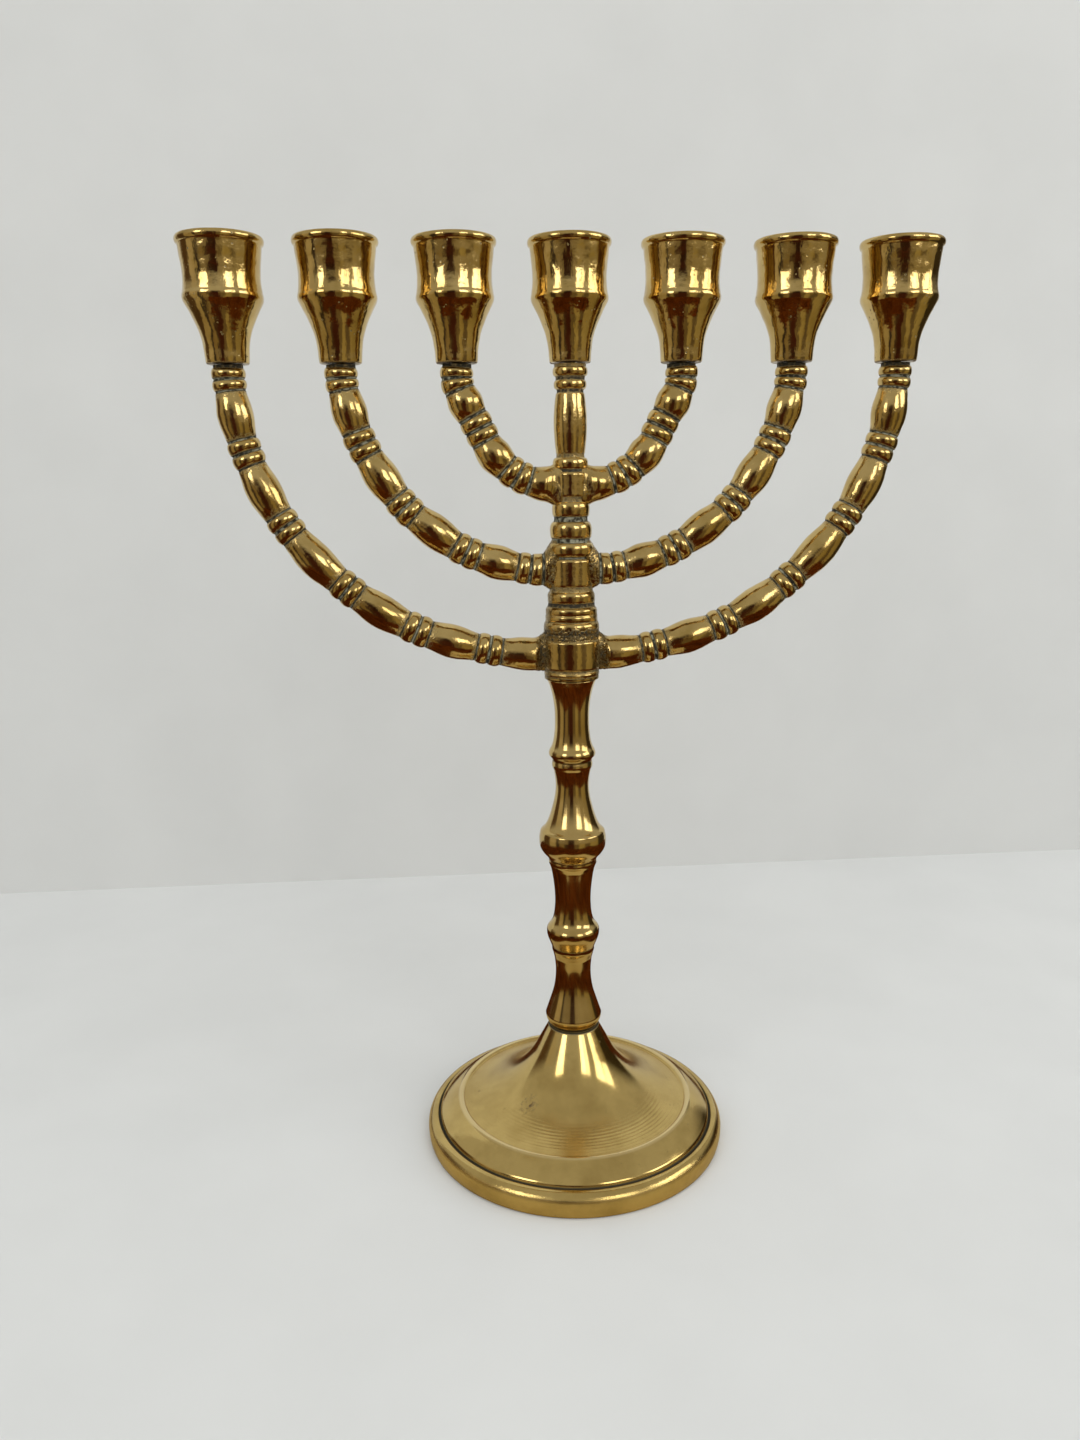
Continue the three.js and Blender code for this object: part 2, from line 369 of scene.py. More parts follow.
def cast_brass():
    """Polished cast brass with old polish and painted shade in its grooves, and porous metal at its
    joints.
    """
    material, tree = new_material("cast_brass")
    where = place_in_piece(tree)
    pitting = attribute(tree, "pitting")
    depth = attribute(tree, "residue")
    grain = noise(tree, where, 0.9, 3)

    residue = math_node(tree, "MULTIPLY_ADD", ramp(tree, grain, 0.3, 0.7), 0.3, depth)
    residue = ramp(tree, residue, 0.42, 0.85)
    pit = times(tree, pitting, ramp(tree, pit_cells(tree, where, 0.8), 0.62, 0.35))
    pit = times(tree, pit, ramp(tree, noise(tree, where, 3, 2), 0.38, 0.55))
    dull = greater(tree, residue, pit)

    metal = mix_colour(tree, times(tree, pitting, 0.6), gold_patches(tree, where, 9), TARNISH)
    # Painted shade: groove slopes and ring flanks go near black; pale old polish only in the deepest.
    paleness = times(tree, ramp(tree, depth, 0.76, 0.88), ramp(tree, noise(tree, where, 1.6, 2), 0.42, 0.6))
    crust_and_shade = mix_colour(tree, paleness, DARK_RESIDUE_AND_SHADE, RESIDUE_PALE)
    colour = mix_colour(tree, residue, metal, crust_and_shade)
    colour = mix_colour(tree, pit, colour, DARK_RESIDUE_AND_SHADE)

    shine = ramp(tree, noise(tree, where, 5, 4), 0.3, 0.75, 0.09, 0.2)
    rough = greater(tree, shine, times(tree, dull, 0.75))
    metallic = ramp(tree, dull, 0.0, 1.0, 1.0, 0.12)
    normal = bump(tree, noise(tree, where, 2.2, 4), 0.11)
    normal = bump(tree, times(tree, dull, grain), 0.18, normal)
    end_material(tree, {"Base Color": colour, "Metallic": metallic, "Roughness": rough, "Normal": normal})
    return material


def cup_brass():
    """Polished brass, buffed up and down, with a few casting pits."""
    material, tree = new_material("cup_brass")
    where = place_in_piece(tree)
    stretched = node(tree, "ShaderNodeMapping", {"Vector": where, "Scale": (1, 1, 0.12)}).outputs[0]
    streak = noise(tree, stretched, 1.3, 3)

    chosen = ramp(tree, noise(tree, where, 5, 2), 0.55, 0.62)
    pit = times(tree, ramp(tree, pit_cells(tree, where, 1.7), 0.2, 0.12), chosen)
    film = times(tree, attribute(tree, "residue"), ramp(tree, noise(tree, where, 2.5, 4), 0.3, 0.6))
    dull = greater(tree, film, pit)

    colour = mix_colour(tree, film, gold_patches(tree, where, 8), TARNISH)
    colour = mix_colour(tree, times(tree, pit, 0.8), colour, DARK_RESIDUE_AND_SHADE)

    shine = ramp(tree, streak, 0.3, 0.75, 0.07, 0.17)
    rough = greater(tree, shine, times(tree, dull, 0.6))
    metallic = ramp(tree, dull, 0.0, 1.0, 1.0, 0.4)
    normal = bump(tree, streak, 0.035)
    normal = bump(tree, noise(tree, where, 3.2, 3), 0.14, normal)
    scratched = times(tree, noise(tree, where, 0.5, 2), ramp(tree, noise(tree, where, 6, 2), 0.5, 0.62))
    normal = bump(tree, scratched, 0.02, normal)
    normal = bump(tree, pit, -0.03, normal)
    end_material(tree, {"Base Color": colour, "Metallic": metallic, "Roughness": rough, "Normal": normal})
    return material


def lathe_lines(tree, along, size):
    """Tool lines across a turned piece: a noise that changes only with one number, in metres."""
    vector = node(tree, "ShaderNodeCombineXYZ", {"X": along}).outputs[0]
    return noise(tree, vector, size, 3, 0.6)


def turned_brass():
    """Bright lathe-turned brass with faint tool lines round it."""
    material, tree = new_material("turned_brass")
    where = place_in_piece(tree)
    height = node(tree, "ShaderNodeSeparateXYZ", {"Vector": where}).outputs["Z"]
    lines = lathe_lines(tree, height, 0.35)
    film = times(tree, attribute(tree, "residue"), ramp(tree, noise(tree, where, 1.5, 3), 0.2, 0.6))
    colour = mix_colour(tree, film, gold_patches(tree, where, 12), DARK_RESIDUE_AND_SHADE)
    shine = ramp(tree, lines, 0.3, 0.7, 0.10, 0.19)
    rough = greater(tree, shine, times(tree, film, 0.6))
    normal = bump(tree, lines, 0.0035)
    end_material(tree, {"Base Color": colour, "Metallic": 1.0, "Roughness": rough, "Normal": normal})
    return material


# Radii on the base, in millimetres: where the painted highlight on the ridge fades in and out,
# where the rim's file marks begin, and the radius that the roughness zones below count as 1.
RIDGE_HIGHLIGHT_BAND = (39.4, 40.0, 41.0, 41.6)
FILED_RIM = (50.5, 51.5)
ZONES_END = 60
# Roughness by radius: bright trumpet, satin dish, bright band and rim, duller outer edge.
ZONES = [(0.3, 0.13), (0.42, 0.24), (0.655, 0.24), (0.665, 0.12), (0.855, 0.14), (0.87, 0.34)]
FIRST_ZONE = (0, 0.12)
LAST_ZONE = (1, 0.34)
SPECKS_AT = (-17.5, -17)  # brown specks on the dish, left of the trumpet


def zone_roughness(tree, radius):
    share = math_node(tree, "DIVIDE", radius, ZONES_END * MM)
    curve_node = node(tree, "ShaderNodeFloatCurve", {"Value": share})
    points = curve_node.mapping.curves[0].points
    for place, level in ZONES:
        points.new(place, level)
    points[0].location = FIRST_ZONE
    points[-1].location = LAST_ZONE
    for point in points:
        point.handle_type = "VECTOR"
    curve_node.mapping.update()
    return curve_node.outputs[0]


def painted_ridge_highlight(tree, radius, height):
    """A painted highlight in pale gold along the ridge, strongest on its crest, and on the outside
    only: the hollow below it is lower.
    """
    fade_in, full_from, full_to, fade_out = (edge * MM for edge in RIDGE_HIGHLIGHT_BAND)
    band = times(tree, ramp(tree, radius, fade_in, full_from), ramp(tree, radius, fade_out, full_to))
    return times(tree, band, ramp(tree, height, 12 * MM, 13 * MM, 0.0, 0.8))


def dish_spots(tree, where, flat, film):
    """Brown spots in the dull patches, and one small cluster of specks."""
    spots = times(tree, ramp(tree, noise(tree, where, 2.2, 3), 0.7, 0.76), film)
    middle = (SPECKS_AT[0] * MM, SPECKS_AT[1] * MM, 0)
    away = node(tree, "ShaderNodeVectorMath", {0: flat, 1: middle}, operation="DISTANCE").outputs["Value"]
    cluster = ramp(tree, away, 3.6 * MM, 0.5 * MM)
    specks = times(tree, cluster, ramp(tree, noise(tree, where, 1.3, 3), 0.5, 0.56))
    return greater(tree, spots, specks)


def satin_brass():
    """The base: satin brass with fine rings from the lathe, a painted highlight on the ridge, brown
    spots and a black groove.
    """
    material, tree = new_material("satin_brass")
    where = place_in_piece(tree)
    axes = node(tree, "ShaderNodeSeparateXYZ", {"Vector": where})
    flat = node(tree, "ShaderNodeCombineXYZ", {"X": axes.outputs["X"], "Y": axes.outputs["Y"]}).outputs[0]
    radius = node(tree, "ShaderNodeVectorMath", {0: flat}, operation="LENGTH").outputs["Value"]
    lines = lathe_lines(tree, radius, 0.3)
    film = ramp(tree, noise(tree, where, 14, 4, 0.6), 0.42, 0.75)
    groove = attribute(tree, "residue")
    spots = dish_spots(tree, where, flat, film)
    dull = greater(tree, spots, groove)

    colour = mix_colour(tree, film, PALE_GOLD, DULL_GOLD)
    # Painted highlight: a pale gold line along the ridge's crest.
    colour = mix_colour(tree, painted_ridge_highlight(tree, radius, axes.outputs["Z"]), colour, HIGHLIGHT_GOLD)
    colour = mix_colour(tree, spots, colour, TARNISH)
    colour = mix_colour(tree, groove, colour, DARK_RESIDUE_AND_SHADE)

    satin = math_node(tree, "ADD", zone_roughness(tree, radius), ramp(tree, lines, 0.3, 0.7, -0.04, 0.04))
    rough = greater(tree, satin, times(tree, dull, 0.7))
    metallic = ramp(tree, dull, 0.0, 1.0, 1.0, 0.3)
    normal = bump(tree, lines, 0.006)
    rim = ramp(tree, radius, FILED_RIM[0] * MM, FILED_RIM[1] * MM)
    normal = bump(tree, times(tree, rim, noise(tree, where, 0.9, 4, 0.7)), 0.06, normal)
    end_material(tree, {"Base Color": colour, "Metallic": metallic, "Roughness": rough, "Normal": normal})
    return material


def plain_metal(name, light, dark, low, high):
    """Unpolished metal of the hidden fixings."""
    material, tree = new_material(name)
    where = place_in_piece(tree)
    patch = noise(tree, where, 2.2, 4)
    colour = mix_colour(tree, ramp(tree, patch, 0.35, 0.7), light, dark)
    rough = ramp(tree, noise(tree, where, 0.8, 3), 0.3, 0.7, low, high)
    normal = bump(tree, patch, 0.02)
    end_material(tree, {"Base Color": colour, "Metallic": 1.0, "Roughness": rough, "Normal": normal})
    return material


# ---- Cups ----
def cup_profile():
    """Up the outside, over the rolled rim, down the candle socket and back through the screw hole."""
    rim = RIM_TOP
    return outline(
        [(SCREW_BORE, CUP_BOTTOM), (6.15, CUP_BOTTOM)],
        [(6.35, CUP_BOTTOM + 0.2), (6.75, 268.2), (7.4, 272), (8.85, 276), (10.6, 279.7), (11.3, 281)],
        [(11.7, 281.8), (11.9, 282.6), (11.9, 283.3), (11.7, 284.2)],
        [(11.42, 286.5), (11.35, 289.3), (11.6, 292.5), (11.9, 295), (12.15, rim - 2.5)],
        [(12.6, rim - 2.1), (12.85, rim - 1.4), (12.75, rim - 0.6), (12.35, rim - 0.1), (11.7, rim - 0.05),
         (11.1, rim - 0.5)],
        [(10.4, rim - 1.8), (10.2, rim - 4)],
        [(10.2, 284)],
        [(9.9, 281.6), (8.9, CUP_FLOOR + 0.2), (8, CUP_FLOOR)],
        [(RECESS_BORE, CUP_FLOOR)],
        [(RECESS_BORE, RECESS_FLOOR)],
        [(SCREW_BORE, RECESS_FLOOR)],
        [(SCREW_BORE, CUP_BOTTOM + FINE)],
    )


def cup(place, x, material):
    profile = cup_profile()
    grid, outward = revolved(profile, SIDES["cup"])
    grid = grid + np.array([x, 0, 0])
    grid = hand_finish(grid, outward, dents=0.12, ripples=0.085)
    # The walk runs from 0 to 1 along the outline. Past its highest point it is inside the socket,
    # where a film grows. Dirt also lies in the seam under the cup.
    walk = np.arange(len(profile)) / len(profile)
    peak = walk[np.argmax(profile[:, 1])]
    inside = smoothstep(peak + 0.02, peak + 0.12, walk)
    seam = smoothstep(CUP_BOTTOM + 0.5, CUP_BOTTOM, profile[:, 1]) * (walk < peak)
    residue = np.maximum(0.8 * inside, seam)
    piece = skin(f"brass_cup_{place}", grid, True, residue=residue[:, None])
    finish_piece(piece, f"cup_{place}", material)


# ---- Branches ----
# Radii along a branch: of the rings, of the grooves beside them, and of a barrel's ends and middle.
RING, RING_GROOVE, BARREL_NECK, BARREL = 5.15, 3.85, 4.0, 5.5
ROOT_BARREL = BARREL - 0.5  # the least radius of the last barrel where it runs into the column
FIRST_PITCH, PITCH = 3.4, 4.15  # between the rings of the first pair, and of the others
FIRST_PAIR_SHIFT = 0.8  # the first pair's middle lies that much past FIRST_PAIR
HALF_RING = 0.42  # half a ring's length, as a share of the pitch
BARREL_GAP = 0.25  # of bare groove between a ring and a barrel


def barrel_radius(distance, start, stop, is_last):
    """The radius along a barrel. The last one stays thick to its end."""
    middle = (start + stop) / 2
    half = (stop - start) / 2
    swell = BARREL_NECK + (BARREL - BARREL_NECK) * (1 - ((distance - middle) / half) ** 2)
    if is_last:
        swell = np.where(distance > middle, np.maximum(swell, ROOT_BARREL), swell)
    edge = smoothstep(0, 0.5, distance - start) * smoothstep(0, 0.5, stop - distance)
    return RING_GROOVE + (swell - RING_GROOVE) * edge


def bead_radius(distance, gaps, end):
    """The radius along a branch: pairs of rings, with a barrel after each pair."""
    radius = np.full_like(distance, RING_GROOVE)
    middles = FIRST_PAIR + np.concatenate([[0], np.cumsum(gaps)])
    middles[0] += FIRST_PAIR_SHIFT
    for number, middle in enumerate(middles):
        spacing = PITCH if number else FIRST_PITCH
        half = HALF_RING * spacing
        for centre in (middle - spacing / 2, middle + spacing / 2):
            bead = RING_GROOVE + (RING - RING_GROOVE) * dome(distance - centre, half) ** 0.8
            radius = np.maximum(radius, bead)
        start = middle + spacing / 2 + half + BARREL_GAP
        is_last = number == len(gaps)
        stop = end if is_last else middles[number + 1] - PITCH / 2 - HALF_RING * PITCH - BARREL_GAP
        swell = barrel_radius(distance, start, stop, is_last)
        inside = (distance > start) & (distance < stop)
        radius = np.where(inside, np.maximum(radius, swell), radius)
    return radius


def branch_route(row, side, column_edge):
    """The branch's centre line, from the tip to just inside the column, and the distances along it."""
    route = spline([(side * x, 0, z) for x, z in ROUTES[row]], FINE)
    centre, distance = evenly(route, FINE)
    keep = side * centre[:, 0] > column_edge - 3
    return centre[keep], distance[keep]


def branch_residue(radius):
    """Old polish and painted shade deep in the narrow grooves, and a fainter painted shade down the
    flanks of the rings.
    """
    deep = np.clip((closing(radius, 4) - radius) / 0.8, 0, 1)
    shade = np.clip((smoothed(closing(radius, 9), 4) - radius) / 1.3, 0, 1)
    return np.maximum(0.88 * deep, 0.62 * shade)


def branch(hand, row, side, material):
    root = ROOTS[row]
    centre, distance = branch_route(row, side, root["column"])
    heading = np.gradient(centre, axis=0)
    heading /= np.linalg.norm(heading, axis=1)[:, None]
    across = np.cross([0, 1, 0], heading)
    angle = np.linspace(0, 2 * math.pi, SIDES["branch"], endpoint=False)
    front = np.array([0, 1, 0]) * np.sin(angle)[None, :, None]
    outward = across[:, None] * np.cos(angle)[None, :, None] + front
    from_column = side * centre[:, 0] - root["column"]

    # A web of metal half fills the grooves along the branch's upper and lower sides.
    radius = bead_radius(distance, PAIR_GAPS[row], distance[-1])
    top_line = np.maximum(radius, smoothed(closing(radius, 6), 7))
    web = smoothstep(0.7, 0.95, np.abs(np.cos(angle)))
    grid_radius = top_line[:, None] - (top_line - radius)[:, None] * (1 - 0.5 * web)

    # The braze metal at the root.
    climb = np.clip(1 - from_column / root["reach"], 0, 1.4) ** 2
    up = outward[..., 2]
    rise = np.where(up > 0, root["above"], root["below"]) * np.abs(up) ** 1.5
    grid_radius = grid_radius + climb[:, None] * rise
    rough = root["pitting"] * smoothstep(root["reach"] * 0.85, root["reach"] * 0.3, from_column)[:, None]
    rough = rough * np.ones_like(grid_radius)

    grid = centre[:, None] + outward * grid_radius[..., None]
    grid[..., 1] *= (1 - (1 - root["thin"]) * smoothstep(3.4, 0.4, from_column))[:, None]
    grid = hand_finish(grid, outward, dents=0.12, ripples=0.07, roughness=rough)
    # Old polish and painted shade in the grooves, and dark rough metal at the root.
    residue = np.maximum(branch_residue(radius)[:, None], 0.3 * rough)
    piece = skin(f"brass_branch_{hand}_{row}", grid, False, residue=residue, pitting=rough)
    finish_piece(piece, f"branch_{hand}_{row}", material)


# ---- Column ----
# Beads as (height of the middle, half its length, radius), plain bosses as (from, to, radius), the
# first of them a narrow collar, and the floor of the grooves between them as (height, radius).
COLUMN_BEADS = [
    (181.9, 1.8, 8.85), (185.1, 1.1, 8.3), (187.2, 1.3, 8.2), (191.6, 1.8, 7.5), (206.9, 2.2, 7.25),
    (213, 2.65, 6.7), (219.5, 2.3, 5.95), (233.7, 1.8, 5.55), (257.5, 1.35, 5.15), (261.4, 1.35, 5.45),
]
COLUMN_BOSSES = [(166.1, 167.4, 8.8), (168.2, 177.9, 9.15), (195.2, 203.9, 6.85), (223.4, 231.1, 5.45)]
COLUMN_GROOVES = [
    (COLUMN_BOTTOM, 8.15), (166, 8.25), (178.8, 8.5), (183.6, 7.8), (188.8, 6.9), (194.2, 6.4),
    (204.6, 6.1), (210, 5.75), (216.4, 5.0), (222.3, 4.95), (231.6, 4.75), (235.9, 4.35), (255.6, 4.2),
    (259.5, 4.55), (TIP_TOP, 5.0),
]
COLUMN_BARREL = {"from": 236.4, "to": 255.3, "neck": 4.5, "middle": 5.25}
BOSS_EDGE = 0.9  # radius of the rounding at a boss's ends
COLUMN_STEP = 0.22  # spacing of points up the column
CLEAN_BELOW = 165.7  # neither old polish nor painted shade on the lip that meets the stem
WEB_UP_TO = TIP_TOP - 32  # the web between the beads fades out from here
WEB_ENDS = TIP_TOP - 25


def column_radius(height):
    """The radius up the column: beads, bosses and a barrel, standing on the floor of the grooves."""
    groove_at, groove = np.array(COLUMN_GROOVES).T
    floor = np.interp(height, groove_at, groove)
    radius = floor.copy()
    for middle, half, top in COLUMN_BEADS:
        radius = np.maximum(radius, floor + (top - floor) * dome(height - middle, half) ** 0.75)
    for low, high, top in COLUMN_BOSSES:
        lower_edge = dome(np.clip(low + BOSS_EDGE - height, 0, None), BOSS_EDGE)
        upper_edge = dome(np.clip(height - high + BOSS_EDGE, 0, None), BOSS_EDGE)
        radius = np.maximum(radius, floor + (top - floor) * (lower_edge * upper_edge))
    low, high = COLUMN_BARREL["from"], COLUMN_BARREL["to"]
    middle, half = (low + high) / 2, (high - low) / 2
    fullness = 1 - ((height - middle) / half) ** 2
    swell = COLUMN_BARREL["neck"] + (COLUMN_BARREL["middle"] - COLUMN_BARREL["neck"]) * fullness
    edge = smoothstep(0, 0.6, height - low) * smoothstep(0, 0.6, high - height)
    barrel = np.where(np.abs(height - middle) < half, floor + (swell - floor) * edge, 0)
    return np.maximum(radius, barrel)


def column(material):
    height = np.arange(COLUMN_BOTTOM, TIP_TOP, COLUMN_STEP)
    radius = column_radius(height)
    top_line = np.maximum(radius, smoothed(closing(radius, 16), 9))
    # How deep each groove is: it paints old polish and painted shade into the grooves.
    depth = np.clip((closing(radius, 7) - radius) / 0.9, 0, 1)
    depth = np.where(height < CLEAN_BELOW, 0, depth)

    # A web of metal fills most of the grooves on the left and the right, and less of those above the
    # boss of the middle branches.
    angle = np.linspace(0, 2 * math.pi, SIDES["column"], endpoint=False)
    below_cup = smoothstep(WEB_ENDS, WEB_UP_TO, height)[:, None]
    web = 0.75 * smoothstep(0.72, 0.95, np.abs(np.cos(angle))) * below_cup
    web = web * (1 - 0.6 * smoothstep(203, 206, height)[:, None])
    grid, outward = revolved(np.stack([radius, height], -1), SIDES["column"])
    grid = grid + outward * (((top_line - radius)[:, None] + 0.25) * web)[..., None]

    # The metal is roughest just above the boss of the outer branches.
    rough_band = smoothstep(182.8, 181.0, height) * smoothstep(177.4, 178.2, height)
    rough = rough_band[:, None] * np.ones(len(angle))
    rough = np.maximum(rough, 0.6 * web * smoothstep(208, 204, height)[:, None])
    grid = hand_finish(grid, outward, dents=0.10, ripples=0.03, roughness=0.5 * rough)
    # Old polish and painted shade in the grooves; the web at the sides is painted darker too.
    residue = np.maximum(depth[:, None], 0.55 * web)
    piece = skin("brass_column", grid, False, residue=residue, pitting=rough)
    finish_piece(piece, "column", material)


# ---- Stem ----
STEM_SEAMS = np.array([STEM_BOTTOM + 0.4, 70.3, 102.6, 137.1])  # heights of the dirt lines round it


def stem_profile():
    """Turned from one bar: flared top, bead, knuckle, bead and flared foot, with necks between."""
    return outline(
        [(ROD_BORE, STEM_BOTTOM), (8.1, STEM_BOTTOM)],
        [(8.9, 42.2), (9.55, 43.6), (9.75, 45)],
        [(9.35, 46.2), (8.1, 50), (6.9, 54), (6.25, 58), (6.1, 62), (6.45, 66)],
        [(7.0, 68.2), (7.3, 69.2), (7.25, 70.2)],
        [(7.5, 70.8), (8.3, 72.8), (8.8, 74.2), (9.05, 75.6), (8.95, 77), (8.5, 77.9)],
        [(7.35, 79.4), (6.6, 81.8), (6.15, 86), (6.2, 90), (6.7, 95), (7.3, 98.6)],
        [(7.75, 100), (8.15, 101), (8.1, 102.4)],
        [(8.7, 103.4), (10.1, 105), (11.1, 106.9), (11.35, 108.6), (11.3, 110.6), (10.9, 112.4)],
        [(10.5, 112.9), (9.7, 113.6), (8.7, 115.2), (7.75, 117.6), (6.9, 120.4), (6.0, 124.2), (5.6, 128),
         (5.85, 131.6), (6.3, 134)],
        [(6.75, 135), (6.8, 136), (6.6, 137)],
        [(7.1, 138), (7.7, 138.8), (7.8, 139.8), (7.5, 140.7)],
        [(6.9, 141.8), (6.3, 143.8), (5.85, 147), (5.7, 151), (5.85, 155), (6.5, 159.4), (7.3, 162.4),
         (8.15, STEM_TOP)],
        [(ROD_BORE, STEM_TOP)],
        [(ROD_BORE, STEM_BOTTOM + FINE)],
    )


def stem(material):
    profile = stem_profile()
    nearest = np.abs(profile[:, 1:] - STEM_SEAMS).min(-1)
    residue = 0.75 * smoothstep(0.5, 0.1, nearest)
    grid = revolved(profile, SIDES["stem"])[0]
    piece = skin("turned_stem", grid, True, residue=residue[:, None])
    finish_piece(piece, "stem", material)


# ---- Base ----
GROOVE = (48.3, 8.0)  # radius and height of the dark groove inside the rim
LATHE_RINGS = {"pitch": 1.15, "height": 0.035}  # the raised rings in the dish


def base_profile():
    """Foot ring, rolled rim, groove, sloping band, ridge, dish and trumpet, then the hollow inside."""
    return outline(
        [(47, 0), (51, 0)],
        [(51.6, 0.35), (52.1, 2), (52.3, 4), (52.2, 5.6), (51.85, 6.6)],
        [(51.3, 7.4), (50.5, 8.15), (49.6, 8.5), (48.9, 8.5)],
        [(48.6, 8.1), GROOVE, (48, 8.3)],
        [(47.85, 9.15), (47.5, 9.75)],
        [(46, 11.05), (43.6, 12.75), (41.5, 13.95)],
        [(40.85, 14.4), (40.25, 14.5), (39.6, 14.2), (39.1, 13.7)],
        [(36.5, 14.35), (31.5, 16), (26.5, 18.4), (22.6, 21), (19.3, 24), (16.7, 27), (14.6, 30), (12.9, 33),
         (11.3, 36), (9.9, 38.6), (9.0, 40.3)],
        [(8.7, 40.8), (8.3, BASE_TOP)],
        [(ROD_BORE, BASE_TOP)],
        [(ROD_BORE, 33.5)],
        [(7.8, 33.5)],
        [(11.2, 30.5), (15.2, 24.2), (19.6, 19.4), (27, 15), (38, 11), (44.4, 7.5), (46.4, 4), (47, FINE)],
    )


def base(material):
    profile = base_profile()
    radius, height = profile.T
    outside = np.arange(len(profile)) < np.argmax(height)
    dish = outside & (radius < 39) & (radius > 24)
    rings = LATHE_RINGS["height"] * np.sin(2 * math.pi * radius / LATHE_RINGS["pitch"])
    rings = rings * smoothstep(25, 34, radius) * dish
    grid = revolved(profile + rings[:, None] * np.array([0, 1]), SIDES["base"])[0]
    in_groove = outside * smoothstep(0.75, 0.35, np.hypot(radius - GROOVE[0], height - GROOVE[1] - 0.2))
    under = 0.7 * ~outside
    joint = outside * smoothstep(BASE_TOP - 0.9, BASE_TOP - 0.2, height)
    residue = np.maximum.reduce([in_groove, under, joint])
    piece = skin("brass_base", grid, True, residue=residue[:, None])
    finish_piece(piece, "base_dish", material)


# ---- Fixings ----
ROD_THREAD = {"radius": 2.98, "pitch": 1.0}
SCREW_THREAD = {"radius": 1.6, "pitch": 0.6}
NUT_HALF_WIDTH = 5.0  # from the axis to a flat
SLOT_DEPTH = 0.9


def threaded(thread, low, high, sides):
    """A rod with a V thread: its radius rises and falls along a helix, and its ends are tapered."""
    radius, pitch = thread["radius"], thread["pitch"]
    height = np.arange(low, high, pitch / 10)
    angle = np.linspace(0, 2 * math.pi, sides, endpoint=False)
    turns = height[:, None] / pitch - angle / (2 * math.pi)
    depth = 0.5 * pitch * np.abs(2 * (turns % 1) - 1)
    taper = np.minimum(smoothstep(low, low + pitch, height), smoothstep(high, high - pitch, height))[:, None]
    size = radius - 0.6 * pitch * (1 - taper) - depth * taper
    grid, outward = revolved(np.stack([np.zeros_like(height), height], -1), sides)
    return grid + outward * size[..., None]


def tie_rod(material):
    low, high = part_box("tie_rod")
    grid = threaded(ROD_THREAD, low.z / MM, high.z / MM, SIDES["small"])
    piece = skin("steel_tie_rod", grid, False)
    finish_piece(piece, "tie_rod", material)


def washer(material):
    low, high = (corner.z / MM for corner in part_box("tie_rod_washer"))
    profile = outline(
        [(ROD_BORE, low), (6.7, low)], [(6.95, low + 0.2), (7, low + 0.5)], [(7, high - 0.3)], [(6.8, high)],
        [(ROD_BORE, high)], [(ROD_BORE, low + 0.1)], step=0.2,
    )
    piece = skin("steel_washer", revolved(profile, SIDES["small"])[0], True)
    finish_piece(piece, "tie_rod_washer", material)


def nut(material):
    """A hexagon with its corners turned off at both ends."""
    low, high = (corner.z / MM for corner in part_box("tie_rod_nut"))
    height = np.linspace(low, high, 26)
    angle = np.linspace(0, 2 * math.pi, 6 * 16, endpoint=False)
    flat = NUT_HALF_WIDTH / np.cos((angle + math.pi / 6) % (math.pi / 3) - math.pi / 6)
    end = np.minimum(height - low, high - height)[:, None]
    size = np.minimum(flat, NUT_HALF_WIDTH + 0.05 + 1.4 * end)
    radial = np.stack([np.cos(angle), np.sin(angle), np.zeros_like(angle)], -1)
    up = np.array([0, 0, 1])
    outside = radial * size[..., None] + up * height[:, None, None]
    bore = np.array([ROD_BORE + 0.5, ROD_BORE, ROD_BORE, ROD_BORE, ROD_BORE + 0.5])
    bore_height = np.array([high, high - 0.5, (low + high) / 2, low + 0.5, low])
    inside = radial * bore[:, None, None] + up * bore_height[:, None, None]
    piece = skin("steel_nut", np.concatenate([outside, inside]), True)
    finish_piece(piece, "tie_rod_nut", material)


def cup_screw(place, x, material):
    """A slotted pan-head screw. The slot is pressed into the top of the head's grid."""
    low, high = (corner.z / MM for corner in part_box(f"cup_screw_{place}"))
    seat = RECESS_FLOOR + 0.3
    shank = threaded(SCREW_THREAD, low, seat, SIDES["small"])
    head = outline(
        [(SCREW_THREAD["radius"], seat), (3.0, seat)], [(3.2, seat + 0.2), (3.2, high - 0.7)],
        [(2.9, high - 0.25), (2.2, high)], [(0.02, high)], step=0.15,
    )
    head_grid = revolved(head, SIDES["small"])[0]
    slot_floor = high - SLOT_DEPTH
    in_slot = smoothstep(0.55, 0.42, np.abs(head_grid[..., 1])) * (head_grid[..., 2] > slot_floor)
    head_grid[..., 2] -= in_slot * (head_grid[..., 2] - slot_floor)
    grid = np.concatenate([shank, head_grid]) + np.array([x, 0, 0])
    piece = skin(f"brass_screw_{place}", grid, False)
    finish_piece(piece, f"cup_screw_{place}", material)


# ---- Assembly ----
def build():
    cast = cast_brass()
    cups = cup_brass()
    turned = turned_brass()
    satin = satin_brass()
    screw = plain_metal("screw_brass", SCREW_LIGHT, SCREW_DARK, 0.3, 0.5)
    steel = plain_metal("plain_steel", STEEL_LIGHT, STEEL_DARK, 0.35, 0.55)
    base(satin)
    stem(turned)
    column(cast)
    places = {"centre": 0.0}
    for row in ROWS:
        for hand, side in (("right", 1), ("left", -1)):
            branch(hand, row, side, cast)
            places[f"{hand}_{row}"] = side * CUP_AT[row]
    for place, x in places.items():
        cup(place, x, cups)
        cup_screw(place, x, screw)
    tie_rod(steel)
    washer(steel)
    nut(steel)


build()


# ---- Stage, light and camera, in metres ----
PALE = (0.71, 0.715, 0.71, 1)
BROWN = (0.11, 0.03, 0.006, 1)
DARK_BROWN = (0.035, 0.009, 0.002, 1)
LIT = (0.52, 0.45, 0.29, 1)

